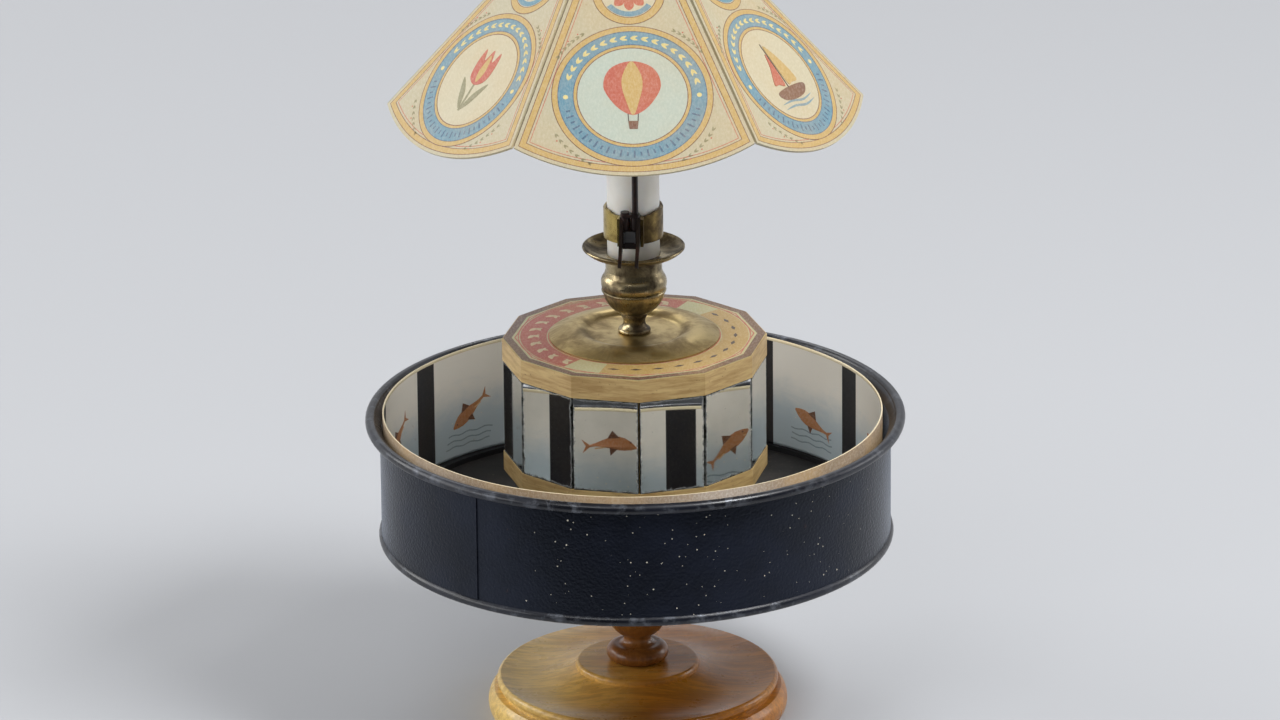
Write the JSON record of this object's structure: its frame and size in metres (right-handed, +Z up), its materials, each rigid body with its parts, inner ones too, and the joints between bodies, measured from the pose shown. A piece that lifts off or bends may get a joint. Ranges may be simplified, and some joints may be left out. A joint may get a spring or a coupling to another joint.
{
  "type": "praxinoscope",
  "caption": "Table optical toy: a hand-turned drum on a wooden foot holds a picture strip round a ring of flat mirrors, lit by a shaded candle in a lift-off brass candlestick.",
  "frame": {"origin": "middle of the foot's underside, on the drum's axis", "axes": "+Z up along the drum's axis, -Y towards the front, where the clip's levers point, +X to the right seen from the front"},
  "size_m": [0.2252, 0.2252, 0.349],
  "materials": {
    "foot_wood": "honey-coloured fruitwood, satin varnish",
    "steel": "turned, a little dull",
    "bearing_brass": "turned",
    "drum_wood": "plain turned wood",
    "drum_floor_black": "black stained, matte",
    "drum_black": "blue-black satin enamel, slightly pebbled, worn beads",
    "mirror_wood": "pale sawn wood, thin varnish",
    "mirror_glass": "silvered glass with dark joints",
    "label_paper": "printed paper, varnished, yellowed",
    "strip_card": "printed card",
    "brass": "old brass with brown patina",
    "clip_brass": "sheet brass, tarnished",
    "iron": "dark browned iron, semi-gloss",
    "wax": "white candle wax, faintly translucent",
    "wick_cotton": "braided cotton",
    "shade_card": "printed varnished card, cream, aged edges",
    "tape_paper": "dark brown paper tape"
  },
  "bodies": {
    "foot": {"foot_base": "foot_wood", "foot_stem": "foot_wood", "spindle": "steel", "thrust_washer": "bearing_brass"},
    "drum": {"drum_hub": "drum_wood", "hub_bush": "bearing_brass", "hub_screws": "steel", "drum_floor": "drum_floor_black", "strip_ledge": "drum_floor_black", "drum_wall": "drum_black", "drum_top_rim": "drum_black", "drum_bottom_rim": "drum_black", "mirror_plinth": "drum_floor_black", "pivot_cup": "bearing_brass", "mirror_base": "mirror_wood", "mirror_core": "mirror_wood", "mirror_01": "mirror_glass", "mirror_02": "mirror_glass", "mirror_03": "mirror_glass", "mirror_04": "mirror_glass", "mirror_05": "mirror_glass", "mirror_06": "mirror_glass", "mirror_07": "mirror_glass", "mirror_08": "mirror_glass", "mirror_09": "mirror_glass", "mirror_10": "mirror_glass", "mirror_11": "mirror_glass", "mirror_12": "mirror_glass", "mirror_top": "mirror_wood", "top_label": "label_paper"},
    "strip": {"picture_strip": "strip_card"},
    "candlestick": {"candlestick_saucer": "brass", "candlestick_peg": "brass", "candlestick_stem": "brass", "drip_pan": "brass"},
    "candle": {"candle": "wax", "wick": "wick_cotton"},
    "clip": {"clip_yoke": "iron", "clip_strap": "iron", "left_hinge_pin": "iron", "jaw_spring": "steel", "shade_carrier": "iron"},
    "jaw_left": {"left_jaw": "clip_brass", "left_lever": "iron"},
    "jaw_right": {"right_jaw": "clip_brass", "right_lever": "iron"},
    "shade": {"shade_panel_1": "shade_card", "shade_panel_2": "shade_card", "shade_panel_3": "shade_card", "shade_panel_4": "shade_card", "shade_panel_5": "shade_card", "shade_panel_6": "shade_card", "shade_tapes": "tape_paper"}
  },
  "joints": [
    {"name": "drum_spin", "type": "hinge", "parent": "foot", "child": "drum", "pos_m": [0, 0, 0.078], "axis": [0, 0, 1], "continuous": true},
    {"name": "strip_lift", "type": "slide", "parent": "drum", "child": "strip", "axis": [0, 0, 1], "range_m": [0, 0.06]},
    {"name": "candlestick_lift", "type": "slide", "parent": "drum", "child": "candlestick", "axis": [0, 0, 1], "range_m": [0, 0.03]},
    {"name": "candle_lift", "type": "slide", "parent": "candlestick", "child": "candle", "axis": [0, 0, 1], "range_m": [0, 0.03]},
    {"name": "clip_height", "type": "slide", "parent": "candle", "child": "clip", "axis": [0, 0, 1], "range_m": [0, 0.045]},
    {"name": "left_jaw_pivot", "type": "hinge", "parent": "clip", "child": "jaw_left", "pos_m": [-0.00342, -0.01496, 0.2222], "axis": [0, 0, 1], "range_deg": [0, 4], "stiffness_Nm_per_rad": 0.01, "springref_deg": -5.73},
    {"name": "right_jaw_pivot", "type": "hinge", "parent": "clip", "child": "jaw_right", "pos_m": [0.00077, -0.01533, 0.2222], "axis": [0, 0, 1], "range_deg": [-4, 0], "stiffness_Nm_per_rad": 0.01, "springref_deg": 5.73},
    {"name": "shade_lift", "type": "slide", "parent": "clip", "child": "shade", "axis": [0, 0, 1], "range_m": [0, 0.08]}
  ],
  "couplings": [
    {"joint": "right_jaw_pivot", "follows": "left_jaw_pivot", "ratio": -1}
  ]
}
